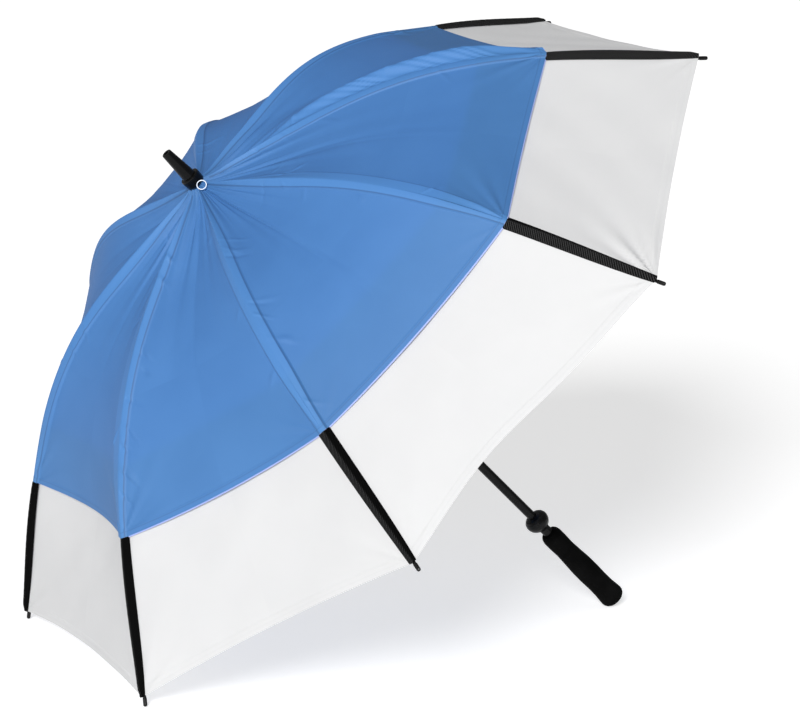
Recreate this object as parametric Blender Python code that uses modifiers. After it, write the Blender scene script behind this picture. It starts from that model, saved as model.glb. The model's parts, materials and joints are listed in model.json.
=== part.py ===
"""Open double-canopy golf umbrella, tipped over on the floor on two rib tips and the end of its grip.

Everything is modelled upright in a local frame (Z along the shaft towards the ferrule, Z = 0 at the
canopy's centre, azimuth 0 on the side that faces the floor) and then tilted as one assembly. World
units are metres, +Z is up and the floor is Z = 0.
"""

import math

import bmesh
import bpy
from mathutils import Matrix, Vector

# Canopy and ribs
RIBS = 8
RIB_STEP = 2 * math.pi / RIBS
TIP_RADIUS = 0.668
DROP_TERMS = (0.1205, 0.2670, -0.7894, 2.0766, -1.1480)  # drop / TIP_RADIUS in powers of radius / TIP_RADIUS
FABRIC = 0.0008
APEX_HOLE_RADIUS = 0.0085
APEX_RISE = 0.0060  # how far the gathered cloth climbs to the collar
APEX_RISE_WIDTH = 0.020
VENT_RADIUS = 0.4965
LOWER_START_RADIUS = 0.420
LOWER_DEPTH = 0.0036
UPPER_SAG = 0.004
LOWER_SAG = 0.004
HEM_BACK_OFF = 0.0098
LOWER_HEM_SCOOP = 0.008
UPPER_HEM_BULGE = 0.0035
PANEL_STEPS = 4

# Rib pockets (tapes) and tips
POCKET_GAP = 0.0015
POCKET_DEPTH = 0.0014
POCKET_THICK = 0.0018
POCKET_WIDTH_START = 0.0205
POCKET_WIDTH_END = 0.0120
TIP_PEG_RADIUS = 0.0030
TIP_PEG_LENGTH = 0.0125
TIP_SOCKET_RADIUS = 0.0025
TIP_SOCKET_LENGTH = 0.012
TIP_BORE_RADIUS = 0.0019

# Rib rods, joint bracket and stretchers
RIB_DEPTH = 0.0074
NOTCH_PIVOT = (0.0105, -0.0165)
ROOT_BLEND = 0.060
INNER_ROD = 0.0038
OUTER_ROD = 0.0034
OUTER_ROD_END = 0.0028
JOINT_RADIUS = 0.335
LUG_RADIUS = 0.322
LUG_DROP = 0.0072
BRACKET_HALF = 0.0026
BRACKET_ROUND = 0.0029
BRACKET_SLOT = 0.0022
RIVET_RADIUS = 0.0009
RIVET_BORE = 0.0012
EYE_THICK = 0.0016
EYE_HEIGHT = 0.0036
EYE_BORE = 0.0008
STRETCHER_LENGTH = 0.345
STRETCHER_ROD = 0.0032
STRETCHER_FLAT = 0.020
CROWN_PIVOT_RADIUS = 0.0135
CROWN_FLAT = 0.034
ROD_SIDES = 6

# Shaft, top and bottom fittings
SHAFT_RADIUS = 0.0070
SHAFT_BORE = 0.0054
SHAFT_TOP = 0.033
SHAFT_BOTTOM = -0.930
FIT_GAP = 0.0003
CATCH_SLOT_WIDTH = 0.0034
TOP_STOP_RADIUS = 0.0100
TOP_STOP_LENGTH = 0.010
CUP_TOP = -0.762
CUP_LENGTH = 0.028
CUP_RADIUS = 0.0187
NECK_RADIUS = 0.0082
GRIP_TOP = -0.8020
GRIP_END = -0.9670

FERRULE_BASE = 0.0207
FERRULE_TIP = 0.0691
FERRULE_BASE_RADIUS = 0.0105
FERRULE_TIP_RADIUS = 0.0075
COLLAR_BASE = 0.0044
COLLAR_TOP = 0.0204
COLLAR_RADIUS = 0.0150
HANG_RING_RADIUS = 0.0068
HANG_RING_WIRE = 0.0007
HANG_RING_AZIMUTH = math.radians(91)
HANG_RING_LEAN = math.radians(50)
RING_CLEARANCE = 0.0004

# Runner
RUNNER_BORE = 0.0075
RUNNER_SLEEVE_RADIUS = 0.0102
RUNNER_CROWN_RADIUS = 0.0168
RUNNER_CROWN_HALF = 0.0050
RUNNER_LENGTH = 0.052
RUNNER_FLANGE_RADIUS = 0.0138
CROWN_SLOT_FLOOR = 0.0114
SLOT_WIDTH = 0.0024
WINDOW_WIDTH = 0.0044

RUNNER_TRAVEL = 0.4202
WINDOW_LENGTH = 0.0135
WINDOW_FOOT = 0.0105
WINDOW_CLEARANCE = 0.0006

CATCH_LENGTH = 0.030
CATCH_OUT = 0.0100
CATCH_THICK = 0.0024
CATCH_ROOT = 0.0030
CATCH_SHEET = 0.0018
CATCH_SHOULDER = 0.0030
CATCH_STRAIGHT = 0.010
CATCH_AZIMUTH = -math.pi / 2

GRIP_END_ROUND = 0.0105
GRIP_END_RADIUS = 0.0192

scene = bpy.context.scene
for old in list(bpy.data.objects):
    bpy.data.objects.remove(old, do_unlink=True)
umbrella = bpy.data.collections.new("golf_umbrella")
tools = bpy.data.collections.new("tools")
scene.collection.children.link(umbrella)
scene.collection.children.link(tools)
tools.hide_render = True
frame = bpy.data.objects.new("umbrella_frame", None)
umbrella.objects.link(frame)


# ---------------------------------------------------------------- materials
def material(name, colour, roughness, metallic=0.0):
    made = bpy.data.materials.new(name)
    made.use_nodes = True
    shader = made.node_tree.nodes["Principled BSDF"]
    shader.inputs["Base Color"].default_value = (*colour, 1.0)
    shader.inputs["Roughness"].default_value = roughness
    shader.inputs["Metallic"].default_value = metallic
    return made


BLUE = material("blue_pongee", (0.105, 0.270, 0.620), 0.62)
WHITE = material("white_pongee", (0.860, 0.860, 0.860), 0.65)
TAPE = material("black_tape", (0.016, 0.016, 0.017), 0.80)
BLACK_PLASTIC = material("black_plastic", (0.012, 0.012, 0.013), 0.38)
NYLON = material("black_nylon", (0.030, 0.030, 0.032), 0.48)
GRIP_RUBBER = material("black_grip", (0.010, 0.010, 0.010), 0.70)
FIBREGLASS = material("black_fibreglass", (0.020, 0.020, 0.022), 0.30)
RIB_GLASS = material("rib_fibreglass", (0.045, 0.045, 0.048), 0.42)
STEEL = material("steel", (0.550, 0.550, 0.560), 0.30, 1.0)
CLEAR_PLASTIC = material("white_plastic", (0.800, 0.820, 0.850), 0.30)


# ---------------------------------------------------------------- modelling tools
def add(name, mesh, paint, home=umbrella, parent=frame, turn=0.0, place=(0, 0, 0)):
    obj = bpy.data.objects.new(name, mesh)
    home.objects.link(obj)
    if paint:
        obj.data.materials.clear()
        obj.data.materials.append(paint)
    obj.parent = parent
    obj.location = place
    obj.rotation_euler = (0, 0, turn)
    return obj


def smooth(mesh, angle=math.radians(40)):
    mesh.shade_smooth()
    mesh.set_sharp_from_angle(angle=angle)
    return mesh


def mesh_from(name, points, faces):
    mesh = bpy.data.meshes.new(name)
    mesh.from_pydata([tuple(p) for p in points], [], faces)
    mesh.validate()
    work = bmesh.new()
    work.from_mesh(mesh)
    bmesh.ops.recalc_face_normals(work, faces=work.faces)
    if work.calc_volume(signed=True) < 0:
        bmesh.ops.reverse_faces(work, faces=work.faces)
    work.to_mesh(mesh)
    work.free()
    return smooth(mesh)


def turned(name, profile, steps):
    """A closed ring profile of (radius, height) pairs turned round the Z axis."""
    wire = bpy.data.meshes.new(name + "_profile")
    count = len(profile)
    edges = [(i, (i + 1) % count) for i in range(count)]
    wire.from_pydata([(r, 0.0, z) for r, z in profile], edges, [])
    holder = add(name + "_profile", wire, None, home=tools, parent=None)
    screw = holder.modifiers.new("Turn", "SCREW")
    screw.steps = steps
    screw.render_steps = steps
    screw.use_merge_vertices = True
    screw.merge_threshold = 0.00001
    return taken(holder, name)


def taken(holder, name):
    """The evaluated mesh of a helper object, cleaned and facing out; the helper is removed."""
    bpy.context.view_layer.update()
    graph = bpy.context.evaluated_depsgraph_get()
    mesh = bpy.data.meshes.new_from_object(holder.evaluated_get(graph))
    mesh.name = name
    work = bmesh.new()
    work.from_mesh(mesh)
    bmesh.ops.remove_doubles(work, verts=work.verts, dist=0.000002)
    bmesh.ops.recalc_face_normals(work, faces=work.faces)
    if work.calc_volume(signed=True) < 0:
        bmesh.ops.reverse_faces(work, faces=work.faces)
    work.to_mesh(mesh)
    work.free()
    bpy.data.objects.remove(holder, do_unlink=True)
    return smooth(mesh)


def combined(name, base, steps):
    """base with (operation, mesh) Booleans worked into it, in the meshes' shared local frame."""
    holder = add(name + "_work", base, None, home=tools, parent=None)
    cutters = []
    for operation, other in steps:
        cutter = add(name + "_cutter", other, None, home=tools, parent=None)
        cutter.display_type = "WIRE"
        boolean = holder.modifiers.new("Cut", "BOOLEAN")
        boolean.operation = operation
        boolean.solver = "EXACT"
        boolean.object = cutter
        cutters.append(cutter)
    mesh = taken(holder, name)
    for cutter in cutters:
        bpy.data.objects.remove(cutter, do_unlink=True)
    return mesh


def box(low, high, turn=0.0, at=(0.0, 0.0, 0.0), tip=0.0):
    """A box given by two corners, tipped about its Y axis, moved to a point and turned about Z."""
    mesh = bpy.data.meshes.new("box")
    work = bmesh.new()
    centre = (Vector(low) + Vector(high)) / 2
    size = Vector(high) - Vector(low)
    bmesh.ops.create_cube(work, size=1.0)
    bmesh.ops.transform(work, matrix=Matrix.Diagonal((*size, 1.0)), verts=work.verts)
    bmesh.ops.translate(work, vec=centre, verts=work.verts)
    place = Matrix.Rotation(turn, 4, "Z") @ Matrix.Translation(at) @ Matrix.Rotation(tip, 4, "Y")
    bmesh.ops.transform(work, matrix=place, verts=work.verts)
    work.to_mesh(mesh)
    work.free()
    return mesh


def pin(radius, half_length, centre, sides=8):
    """A cylinder along the local Y axis."""
    mesh = bpy.data.meshes.new("pin")
    work = bmesh.new()
    lay = Matrix.Translation(centre) @ Matrix.Rotation(math.pi / 2, 4, "X")
    bmesh.ops.create_cone(
        work,
        cap_ends=True,
        segments=sides,
        radius1=radius,
        radius2=radius,
        depth=2 * half_length,
        matrix=lay,
    )
    work.to_mesh(mesh)
    work.free()
    return mesh


def hull_of(name, meshes):
    work = bmesh.new()
    for mesh in meshes:
        work.from_mesh(mesh)
    found = bmesh.ops.convex_hull(work, input=work.verts)
    unused = [e for e in found["geom_interior"] if isinstance(e, bmesh.types.BMVert)]
    bmesh.ops.delete(work, geom=unused, context="VERTS")
    hull_faces = {f for f in found["geom"] if isinstance(f, bmesh.types.BMFace)}
    extra = [f for f in work.faces if f not in hull_faces]
    bmesh.ops.delete(work, geom=extra, context="FACES_ONLY")
    made = bpy.data.meshes.new(name)
    work.to_mesh(made)
    work.free()
    return made


def rod(name, path, sizes, sides=ROD_SIDES):
    """A loft in the local XZ plane: path of (x, z), sizes of (width across Y, height in plane)."""
    points = []
    faces = []
    last = len(path) - 1
    for i, (x, z) in enumerate(path):
        before = path[max(i - 1, 0)]
        after = path[min(i + 1, last)]
        along = Vector((after[0] - before[0], 0, after[1] - before[1])).normalized()
        up = Vector((-along.z, 0, along.x))
        width, height = sizes[i]
        for k in range(sides):
            a = 2 * math.pi * (k + 0.5) / sides
            spread = 1 / math.cos(math.pi / sides)
            across = max(-1.0, min(1.0, spread * math.cos(a))) * width / 2
            rise = max(-1.0, min(1.0, spread * math.sin(a))) * height / 2
            points.append(Vector((x, across, z)) + up * rise)
    for i in range(last):
        for k in range(sides):
            here = i * sides + k
            beside = i * sides + (k + 1) % sides
            faces.append((here, beside, beside + sides, here + sides))
    faces.append(tuple(range(sides)))
    faces.append(tuple(last * sides + k for k in range(sides)))
    return mesh_from(name, points, faces)


# ---------------------------------------------------------------- canopy shape
def drop(radius):
    share = radius / TIP_RADIUS
    return TIP_RADIUS * sum(c * share ** (i + 1) for i, c in enumerate(DROP_TERMS))


def slope(radius):
    share = radius / TIP_RADIUS
    return math.atan(sum((i + 1) * c * share**i for i, c in enumerate(DROP_TERMS)))


def under(radius, depth):
    """The point a depth below the canopy's outer line over a rib, as (radius, height)."""
    lean = slope(radius)
    return radius - depth * math.sin(lean), -drop(radius) - depth * math.cos(lean)


def apex_rise(radius):
    return APEX_RISE * math.exp(-((radius / APEX_RISE_WIDTH) ** 2))


def polar(radius, azimuth, height):
    return Vector((radius * math.cos(azimuth), radius * math.sin(azimuth), height))


def panel_point(radius, depth, share, sag):
    """A point on the panel that starts at azimuth 0: share runs from one rib to the next."""
    r, z = under(radius, depth)
    z += apex_rise(radius)
    first = polar(r, 0.0, z)
    second = polar(r, RIB_STEP, z)
    lean = slope(radius)
    half = RIB_STEP / 2
    inward = Vector((math.sin(lean) * math.cos(half), math.sin(lean) * math.sin(half), math.cos(lean)))
    return first.lerp(second, share) - inward * sag * 4 * share * (1 - share)


def canopy(name, paint, radii, depth, sag_at, edge_shift):
    """Eight panels as one closed sheet. edge_shift moves the hem between the ribs."""
    columns = RIBS * PANEL_STEPS
    rows = len(radii)
    points = []
    for i, radius in enumerate(radii):
        along = i / (rows - 1)
        for c in range(columns):
            panel, step = divmod(c, PANEL_STEPS)
            share = step / PANEL_STEPS
            moved = radius + edge_shift * along**2 * 4 * share * (1 - share)
            spot = panel_point(moved, depth, share, sag_at(along))
            turn = Matrix.Rotation((panel - RIBS / 2 + 0.5) * RIB_STEP, 3, "Z")
            points.append(turn @ spot)
    faces = []
    for i in range(rows - 1):
        for c in range(columns):
            d = (c + 1) % columns
            faces.append((i * columns + c, (i + 1) * columns + c, (i + 1) * columns + d, i * columns + d))
    sheet = bpy.data.meshes.new(name)
    sheet.from_pydata([tuple(p) for p in points], [], faces)
    holder = add(name + "_sheet", sheet, None, home=tools, parent=None)
    thick = holder.modifiers.new("Thickness", "SOLIDIFY")
    thick.thickness = FABRIC
    thick.offset = -1.0
    thick.use_even_offset = True
    return add(name, taken(holder, name), paint)


def spaced(start, end, count):
    return [start + (end - start) * i / (count - 1) for i in range(count)]


upper_radii = [APEX_HOLE_RADIUS, 0.014, 0.020, 0.035, 0.065] + spaced(0.110, VENT_RADIUS, 8)
canopy("canopy_upper", BLUE, upper_radii, 0.0, lambda s: UPPER_SAG * s * (1.4 - s), UPPER_HEM_BULGE)
hem_radius = TIP_RADIUS - HEM_BACK_OFF
lower_radii = spaced(LOWER_START_RADIUS, hem_radius, 8)
canopy("canopy_lower", WHITE, lower_radii, LOWER_DEPTH, lambda s: LOWER_SAG, -LOWER_HEM_SCOOP)


# ---------------------------------------------------------------- rib parts, all in the XZ plane
def rib_line(radius):
    """The rib rod's centre line; near the hub it dips to the notch's pivot."""
    r, z = under(radius, RIB_DEPTH)
    near = max(0.0, 1 - (radius - NOTCH_PIVOT[0]) / ROOT_BLEND)
    blend = near * near
    start = under(NOTCH_PIVOT[0], RIB_DEPTH)
    return r + (NOTCH_PIVOT[0] - start[0]) * blend, z + (NOTCH_PIVOT[1] - start[1]) * blend


def relative(points, origin):
    return [(x - origin[0], z - origin[1]) for x, z in points]


def ahead(origin, target, distance):
    """The point a distance from origin on the way to target."""
    span = math.dist(origin, target)
    return (
        origin[0] + (target[0] - origin[0]) * distance / span,
        origin[1] + (target[1] - origin[1]) * distance / span,
    )


def flat_end(origin, target, flat, rod_size):
    """Path and sizes of a flat eye end that runs from behind the pivot into the rod."""
    marks = (-0.45, -0.28, 0.0)
    heights = (0.35, 0.82, 1.0)
    path = [ahead(origin, target, m * EYE_HEIGHT) for m in marks]
    sizes = [(EYE_THICK, h * EYE_HEIGHT) for h in heights]
    path.append(ahead(origin, target, flat))
    sizes.append((EYE_THICK, EYE_HEIGHT))
    path.append(ahead(origin, target, flat + 0.002))
    sizes.append((rod_size, rod_size))
    return path, sizes


joint = rib_line(JOINT_RADIUS)
lug = under(LUG_RADIUS, RIB_DEPTH + LUG_DROP)
lean_at_joint = slope(JOINT_RADIUS)
crown_drop = math.sqrt(STRETCHER_LENGTH**2 - (lug[0] - CROWN_PIVOT_RADIUS) ** 2)
crown = (CROWN_PIVOT_RADIUS, lug[1] - crown_drop)

# Inner rib: eye at the notch, rod, slotted bracket with its two rivets.
path, sizes = flat_end(NOTCH_PIVOT, rib_line(0.024), 0.0085, INNER_ROD)
for radius in (0.034, 0.055, 0.085, 0.125, 0.180, 0.240, 0.290, JOINT_RADIUS - 0.002):
    path.append(rib_line(radius))
    sizes.append((INNER_ROD, INNER_ROD))
inner_rod = rod("inner_rod", relative(path, NOTCH_PIVOT), sizes)
joint_at = (joint[0] - NOTCH_PIVOT[0], joint[1] - NOTCH_PIVOT[1])
lug_at = (lug[0] - NOTCH_PIVOT[0], lug[1] - NOTCH_PIVOT[1])
back = rib_line(LUG_RADIUS - 0.006)
back_at = (back[0] - NOTCH_PIVOT[0], back[1] - NOTCH_PIVOT[1])
rounds = [
    pin(BRACKET_ROUND, BRACKET_HALF, (x, 0, z)) for x, z in (joint_at, lug_at, back_at)
]
bracket = hull_of("bracket", rounds)
at_joint = (joint_at[0], 0.0, joint_at[1])
slot_half = BRACKET_SLOT / 2
joint_slot = box((-0.004, -slot_half, -0.020), (0.008, slot_half, 0.008), at=at_joint, tip=lean_at_joint)
lug_slot = box((-0.030, -slot_half, -0.020), (-0.0035, slot_half, -0.0024), at=at_joint, tip=lean_at_joint)
joint_rivet = pin(RIVET_RADIUS, BRACKET_HALF + 0.0003, at_joint)
lug_rivet = pin(RIVET_RADIUS, BRACKET_HALF + 0.0003, (lug_at[0], 0.0, lug_at[1]))
eye_bore = pin(EYE_BORE, EYE_THICK, (0, 0, 0))
rib_inner_mesh = combined(
    "rib_inner",
    inner_rod,
    [
        ("UNION", bracket),
        ("DIFFERENCE", joint_slot),
        ("DIFFERENCE", lug_slot),
        ("UNION", joint_rivet),
        ("UNION", lug_rivet),
        ("DIFFERENCE", eye_bore),
    ],
)

# Outer rib: tongue in the bracket, rod that follows the canopy to the tip.
rod_end = TIP_RADIUS - 0.006
path, sizes = flat_end(joint, rib_line(JOINT_RADIUS + 0.010), 0.0050, OUTER_ROD)
stations = spaced(JOINT_RADIUS + 0.030, rod_end, 8)
for radius in stations:
    taper = (radius - stations[0]) / (stations[-1] - stations[0])
    size = OUTER_ROD + (OUTER_ROD_END - OUTER_ROD) * taper
    path.append(rib_line(radius))
    sizes.append((size, size))
outer_rod = rod("outer_rod", relative(path, joint), sizes)
tongue_bore = pin(RIVET_BORE, EYE_THICK, (0, 0, 0))
rib_outer_mesh = combined("rib_outer", outer_rod, [("DIFFERENCE", tongue_bore)])

# Stretcher: flat eye at the lug, rod, flat eye at the runner's crown.
path, sizes = flat_end(lug, crown, STRETCHER_FLAT, STRETCHER_ROD)
end_path, end_sizes = flat_end(crown, lug, CROWN_FLAT, STRETCHER_ROD)
path = path + end_path[::-1]
sizes = sizes + end_sizes[::-1]
stretcher_rod = rod("stretcher_rod", relative(path, lug), sizes)
far = (crown[0] - lug[0], 0.0, crown[1] - lug[1])
stretcher_mesh = combined(
    "stretcher",
    stretcher_rod,
    [("DIFFERENCE", pin(RIVET_BORE, EYE_THICK, (0, 0, 0))), ("DIFFERENCE", pin(EYE_BORE, EYE_THICK, far))],
)

# Tip: socket over the rod's end and a rounded peg, turned about the rib's last direction.
tip_end = rib_line(TIP_RADIUS)
tip_lean = slope(TIP_RADIUS - 0.016)
peg_base = TIP_PEG_LENGTH
tip_profile = [
    (0.0, 0.0),
    (TIP_PEG_RADIUS * 0.55, 0.0004),
    (TIP_PEG_RADIUS * 0.90, 0.0014),
    (TIP_PEG_RADIUS, 0.0030),
    (TIP_PEG_RADIUS, peg_base - 0.0005),
    (TIP_SOCKET_RADIUS, peg_base),
    (TIP_SOCKET_RADIUS, peg_base + TIP_SOCKET_LENGTH),
    (TIP_BORE_RADIUS, peg_base + TIP_SOCKET_LENGTH),
    (TIP_BORE_RADIUS, 0.0070),
    (0.0, 0.0068),
]
tip_mesh = turned("rib_tip", [(r, -z) for r, z in tip_profile], 10)
tip_mesh.transform(Matrix.Rotation(math.pi / 2 + tip_lean, 4, "Y"))
tip_mesh.transform(Matrix.Translation((tip_end[0] - joint[0], 0, tip_end[1] - joint[1])))


def pocket():
    """A tape folded over the rib's ridge, from the upper hem to the tip."""
    start = VENT_RADIUS + POCKET_GAP
    radii = spaced(start, TIP_RADIUS - TIP_PEG_LENGTH * 0.80, 7)
    across = (-1.0, -0.42, 0.0, 0.42, 1.0)
    ridge_round = 0.0006
    points = []
    for depth in (POCKET_DEPTH, POCKET_DEPTH + POCKET_THICK):
        for i, radius in enumerate(radii):
            width = POCKET_WIDTH_START + (POCKET_WIDTH_END - POCKET_WIDTH_START) * i / (len(radii) - 1)
            r, z = under(radius, depth)
            for share in across:
                side = share * width / 2
                back_off = abs(side) * math.sin(RIB_STEP / 2)
                lift = ridge_round * abs(share)
                lean = slope(radius)
                points.append(
                    Vector(
                        (
                            r - back_off + lift * math.sin(lean) - joint[0],
                            side * math.cos(RIB_STEP / 2),
                            z + lift * math.cos(lean) - joint[1],
                        )
                    )
                )
    rows = len(radii)
    columns = len(across)
    layer = rows * columns
    faces = []
    for i in range(rows - 1):
        for c in range(columns - 1):
            a = i * columns + c
            quad = (a, a + 1, a + 1 + columns, a + columns)
            faces.append(quad)
            faces.append(tuple(layer + v for v in reversed(quad)))
    rim = [c for c in range(columns)]
    rim += [i * columns + columns - 1 for i in range(1, rows)]
    rim += [(rows - 1) * columns + c for c in range(columns - 2, -1, -1)]
    rim += [i * columns for i in range(rows - 2, 0, -1)]
    for k, a in enumerate(rim):
        b = rim[(k + 1) % len(rim)]
        faces.append((a, b, layer + b, layer + a))
    return mesh_from("rib_pocket", points, faces)


pocket_mesh = pocket()
at_notch = Vector((NOTCH_PIVOT[0], 0, NOTCH_PIVOT[1]))
at_outer = Vector((joint[0], 0, joint[1]))
at_lug = Vector((lug[0], 0, lug[1]))
for k in range(RIBS):
    azimuth = (k - RIBS / 2 + 0.5) * RIB_STEP
    turn = Matrix.Rotation(azimuth, 3, "Z")
    add(f"rib_inner_{k + 1}", rib_inner_mesh, RIB_GLASS, turn=azimuth, place=turn @ at_notch)
    add(f"rib_outer_{k + 1}", rib_outer_mesh, RIB_GLASS, turn=azimuth, place=turn @ at_outer)
    add(f"stretcher_{k + 1}", stretcher_mesh, RIB_GLASS, turn=azimuth, place=turn @ at_lug)
    add(f"rib_tip_{k + 1}", tip_mesh, BLACK_PLASTIC, turn=azimuth, place=turn @ at_outer)
    add(f"rib_pocket_{k + 1}", pocket_mesh, TAPE, turn=azimuth, place=turn @ at_outer)


# ---------------------------------------------------------------- hub
notch_z = NOTCH_PIVOT[1]
wire_z = notch_z
notch_profile = [
    (SHAFT_RADIUS + FIT_GAP, notch_z + 0.0053),
    (0.0122, notch_z + 0.0053),
    (0.0130, notch_z + 0.0045),
    (0.0130, notch_z + 0.0008),
    (0.0097, notch_z + 0.0008),
    (0.0097, notch_z - 0.0008),
    (0.0130, notch_z - 0.0008),
    (0.0130, notch_z - 0.0045),
    (0.0122, notch_z - 0.0053),
    (SHAFT_RADIUS + FIT_GAP, notch_z - 0.0053),
]


def slot_boxes(floor, outer, low, high, width):
    half = width / 2
    turns = [(k + 0.5) * RIB_STEP for k in range(RIBS)]
    return [("DIFFERENCE", box((floor, -half, low), (outer, half, high), turn=t)) for t in turns]


notch_slots = slot_boxes(0.0085, 0.020, notch_z - 0.010, notch_z + 0.010, SLOT_WIDTH)
add("top_notch", combined("top_notch", turned("notch_blank", notch_profile, 32), notch_slots), NYLON)


def torus(name, major, minor, steps, sides):
    ring = [
        (
            major + minor * math.cos(2 * math.pi * k / sides),
            minor * math.sin(2 * math.pi * k / sides),
        )
        for k in range(sides)
    ]
    return turned(name, ring, steps)


wire = torus("notch_wire", NOTCH_PIVOT[0], 0.00042, 40, 6)
add("notch_wire", wire, STEEL, place=(0, 0, wire_z))
rosette_profile = [
    (SHAFT_RADIUS + FIT_GAP, -0.0092),
    (0.0170, -0.0092),
    (0.0175, -0.0097),
    (0.0170, -0.0102),
    (SHAFT_RADIUS + FIT_GAP, -0.0102),
]
add("rosette", turned("rosette", rosette_profile, 32), BLACK_PLASTIC)

# ---------------------------------------------------------------- ferrule, collar and hang ring
ferrule_profile = [
    (0.0030, FERRULE_TIP - 0.0045),
    (0.0034, FERRULE_TIP - 0.0006),
    (0.0042, FERRULE_TIP),
    (FERRULE_TIP_RADIUS - 0.0010, FERRULE_TIP),
    (FERRULE_TIP_RADIUS - 0.0003, FERRULE_TIP - 0.0004),
    (FERRULE_TIP_RADIUS, FERRULE_TIP - 0.0014),
    (FERRULE_BASE_RADIUS - 0.0010, FERRULE_BASE + 0.0160),
    (FERRULE_BASE_RADIUS - 0.0002, FERRULE_BASE + 0.0050),
    (FERRULE_BASE_RADIUS, FERRULE_BASE + 0.0004),
    (FERRULE_BASE_RADIUS - 0.0004, FERRULE_BASE),
    (SHAFT_RADIUS + FIT_GAP, FERRULE_BASE),
    (SHAFT_RADIUS + FIT_GAP, SHAFT_TOP + FIT_GAP),
    (0.0, SHAFT_TOP + FIT_GAP),
    (0.0, FERRULE_TIP - 0.0045),
]
add("ferrule", turned("ferrule", ferrule_profile, 32), BLACK_PLASTIC)
collar_profile = [
    (SHAFT_RADIUS + FIT_GAP, COLLAR_TOP),
    (COLLAR_RADIUS - 0.0022, COLLAR_TOP),
    (COLLAR_RADIUS - 0.0005, COLLAR_TOP - 0.0006),
    (COLLAR_RADIUS, COLLAR_TOP - 0.0020),
    (COLLAR_RADIUS - 0.0002, COLLAR_TOP - 0.0065),
    (COLLAR_RADIUS - 0.0009, COLLAR_BASE + 0.0022),
    (COLLAR_RADIUS - 0.0015, COLLAR_BASE + 0.0006),
    (COLLAR_RADIUS - 0.0024, COLLAR_BASE),
    (SHAFT_RADIUS + FIT_GAP, COLLAR_BASE),
]
add("collar", turned("collar", collar_profile, 36), BLACK_PLASTIC)

ring_mesh = torus("hang_ring", HANG_RING_RADIUS, HANG_RING_WIRE, 28, 6)
# it leans on the collar's side with its lower edge on the cloth
ring_reach = HANG_RING_RADIUS * math.cos(HANG_RING_LEAN)
ring_distance = COLLAR_RADIUS + HANG_RING_WIRE + RING_CLEARANCE + ring_reach
ring_foot = ring_distance + ring_reach
ring_rise = HANG_RING_RADIUS * math.sin(HANG_RING_LEAN) + HANG_RING_WIRE + RING_CLEARANCE
ring_height = apex_rise(ring_foot) - drop(ring_foot) + ring_rise
hang_ring = add("hang_ring", ring_mesh, CLEAR_PLASTIC)
hang_ring.location = polar(ring_distance, HANG_RING_AZIMUTH, ring_height)
hang_ring.rotation_euler = (0, HANG_RING_LEAN, HANG_RING_AZIMUTH)

# ---------------------------------------------------------------- shaft with its two catches
shaft_profile = [
    (SHAFT_RADIUS, SHAFT_TOP),
    (SHAFT_RADIUS, SHAFT_BOTTOM),
    (SHAFT_BORE, SHAFT_BOTTOM),
    (SHAFT_BORE, SHAFT_TOP),
]
runner_foot = crown[1] - RUNNER_LENGTH
window_low = runner_foot + WINDOW_FOOT
window_high = window_low + WINDOW_LENGTH
catch_half = CATCH_SLOT_WIDTH / 2
# Each catch: the height of its shoulder and the way that shoulder faces.
catches = {
    "top_catch": (window_high - WINDOW_CLEARANCE, 1.0),
    "bottom_catch": (window_low - RUNNER_TRAVEL + WINDOW_CLEARANCE, -1.0),
}
catch_slots = []
for shoulder, facing in catches.values():
    ends = (shoulder + facing * 0.003, shoulder - facing * (CATCH_LENGTH + 0.004))
    slot = box((0.0, -catch_half, min(ends)), (0.020, catch_half, max(ends)), turn=CATCH_AZIMUTH)
    catch_slots.append(("DIFFERENCE", slot))
add("shaft", combined("shaft", turned("shaft_blank", shaft_profile, 24), catch_slots), FIBREGLASS)


def catch(name, shoulder, facing):
    """A sheet-steel wedge, hinged in the shaft at the end away from its shoulder."""
    half = CATCH_THICK / 2
    outline = [
        (0.0, -0.0015),
        (CATCH_SHEET, -0.0015),
        (CATCH_SHEET, CATCH_STRAIGHT),
        (CATCH_OUT - CATCH_ROOT, CATCH_LENGTH - CATCH_SHOULDER),
        (CATCH_OUT - CATCH_ROOT, CATCH_LENGTH),
        (0.0, CATCH_LENGTH),
    ]
    points = [(x, y, z * facing) for y in (-half, half) for x, z in outline]
    count = len(outline)
    faces = [tuple(range(count)), tuple(range(2 * count - 1, count - 1, -1))]
    faces += [(i, (i + 1) % count, count + (i + 1) % count, count + i) for i in range(count)]
    pivot_z = shoulder - facing * CATCH_LENGTH
    place = polar(CATCH_ROOT, CATCH_AZIMUTH, pivot_z)
    return add(name, mesh_from(name, points, faces), STEEL, turn=CATCH_AZIMUTH, place=place)


for catch_name, (shoulder, facing) in catches.items():
    catch(catch_name, shoulder, facing)

stop_base = crown[1] + RUNNER_CROWN_HALF + 0.0006
stop_profile = [
    (SHAFT_RADIUS + FIT_GAP, stop_base + TOP_STOP_LENGTH),
    (TOP_STOP_RADIUS - 0.0008, stop_base + TOP_STOP_LENGTH),
    (TOP_STOP_RADIUS, stop_base + TOP_STOP_LENGTH - 0.0008),
    (TOP_STOP_RADIUS, stop_base),
    (SHAFT_RADIUS + FIT_GAP, stop_base),
]
add("top_stop", turned("top_stop", stop_profile, 24), BLACK_PLASTIC)

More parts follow.
